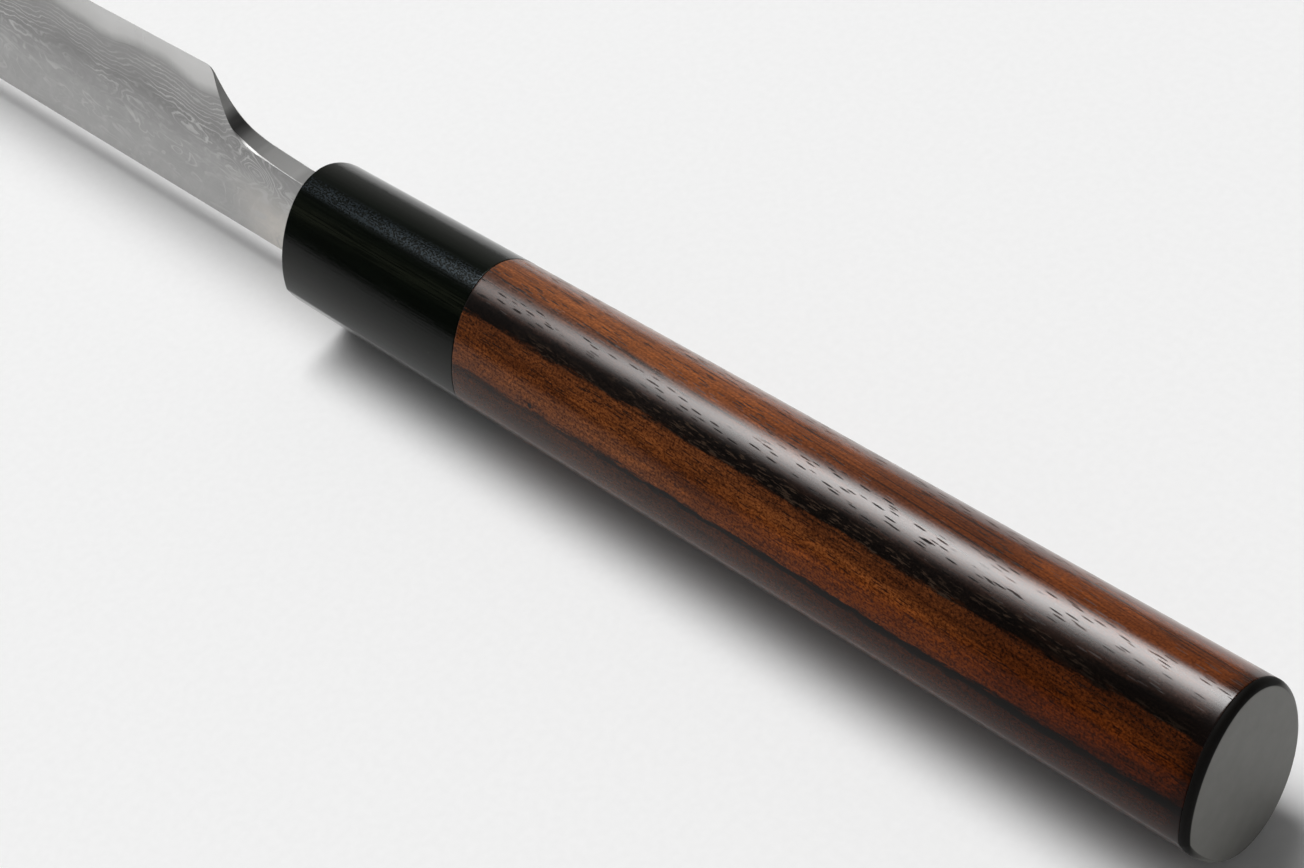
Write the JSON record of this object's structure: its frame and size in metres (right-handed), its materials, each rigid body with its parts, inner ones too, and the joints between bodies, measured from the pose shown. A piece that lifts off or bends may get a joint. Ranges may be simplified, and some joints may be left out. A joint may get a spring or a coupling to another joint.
{
  "type": "takohiki knife",
  "caption": "Slicing knife with a long straight laminated blade, bevelled on one side with a square tip, in a ridged oval wooden handle with a black ferrule and end plate.",
  "frame": {"origin": "centre of the flat butt face of the handle", "axes": "+X out of the butt along the handle, +Z towards the cutting edge, -Y out of the bevelled side"},
  "size_m": [0.4364, 0.0189, 0.032],
  "materials": {
    "patterned_steel": "etched layered steel, satin",
    "hard_steel": "fine ground, satin",
    "black_wood": "black resin-filled wood, satin",
    "end_plate": "black resin-filled wood, fine sanded end",
    "rosewood": "polished rosewood with dark streaks",
    "pale_wood": "plain hardwood",
    "pale_resin": "set filler"
  },
  "bodies": {
    "root": {"blade_cladding": "patterned_steel", "blade_core": "hard_steel", "ferrule": "black_wood", "mouth_seal": "pale_resin", "ferrule_dowel": "pale_wood", "handle_grip": "rosewood", "tang_bedding": "pale_resin", "end_cap": "end_plate"}
  },
  "joints": []
}
